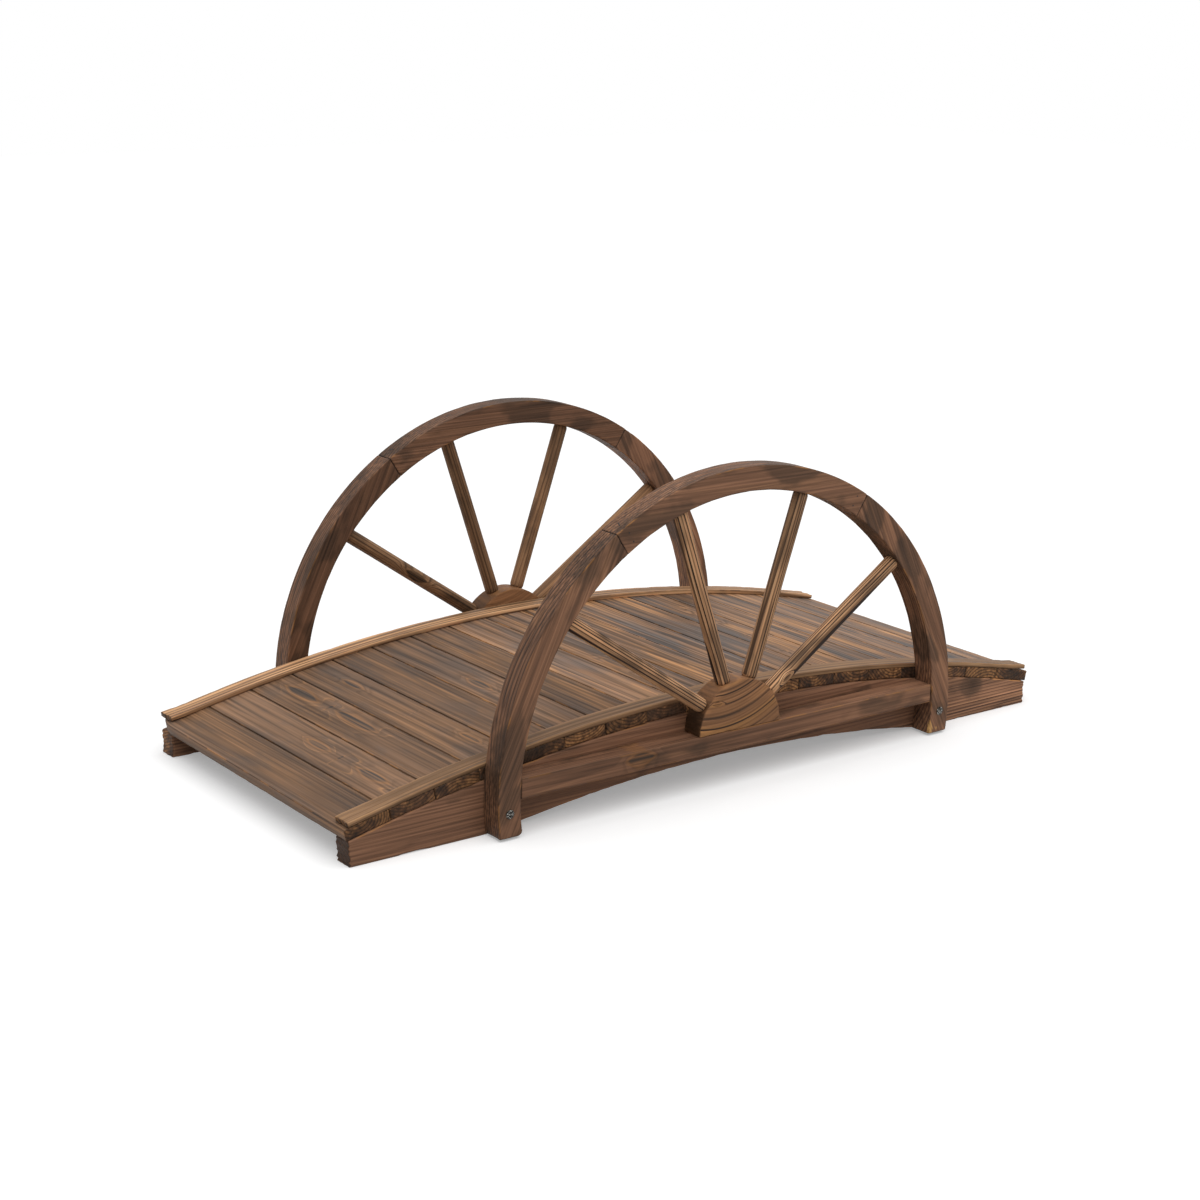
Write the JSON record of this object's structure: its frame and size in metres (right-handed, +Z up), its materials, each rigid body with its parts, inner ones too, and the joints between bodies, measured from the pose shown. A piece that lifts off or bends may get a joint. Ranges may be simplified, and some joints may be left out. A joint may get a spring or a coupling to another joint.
{
  "type": "garden footbridge",
  "caption": "Low arched garden footbridge: boards across bowed stringers, bent strips along the edges, and half a spoked wagon wheel as the rail on each side.",
  "frame": {"origin": "on the ground under the middle of the deck", "axes": "+X along the way across, +Y from the near wheel to the far wheel, +Z up"},
  "size_m": [0.9986, 0.5, 0.37],
  "materials": {
    "deck_fir": "scorched and brushed fir, satin stain",
    "frame_fir": "scorched and brushed fir, satin stain",
    "kerb_fir": "scorched and brushed fir, lighter, satin stain",
    "screw_steel": "dark coated steel"
  },
  "bodies": {
    "root": {"deck_board_01": "deck_fir", "deck_board_02": "deck_fir", "deck_board_03": "deck_fir", "deck_board_04": "deck_fir", "deck_board_05": "deck_fir", "deck_board_06": "deck_fir", "deck_board_07": "deck_fir", "deck_board_08": "deck_fir", "deck_board_09": "deck_fir", "deck_board_10": "deck_fir", "deck_board_11": "deck_fir", "deck_board_12": "deck_fir", "deck_board_13": "deck_fir", "deck_board_14": "deck_fir", "deck_board_15": "deck_fir", "deck_board_16": "deck_fir", "deck_board_17": "deck_fir", "deck_board_18": "deck_fir", "far_crossbar": "frame_fir", "far_crown_felloe": "frame_fir", "far_hub": "frame_fir", "far_kerb_strip": "kerb_fir", "far_left_felloe": "frame_fir", "far_left_screw": "screw_steel", "far_lower_left_spoke": "frame_fir", "far_lower_right_spoke": "frame_fir", "far_right_felloe": "frame_fir", "far_right_screw": "screw_steel", "far_stringer": "frame_fir", "far_upper_left_spoke": "frame_fir", "far_upper_right_spoke": "frame_fir", "near_crossbar": "frame_fir", "near_crown_felloe": "frame_fir", "near_hub": "frame_fir", "near_kerb_strip": "kerb_fir", "near_left_felloe": "frame_fir", "near_left_screw": "screw_steel", "near_lower_left_spoke": "frame_fir", "near_lower_right_spoke": "frame_fir", "near_right_felloe": "frame_fir", "near_right_screw": "screw_steel", "near_stringer": "frame_fir", "near_upper_left_spoke": "frame_fir", "near_upper_right_spoke": "frame_fir"}
  },
  "joints": []
}
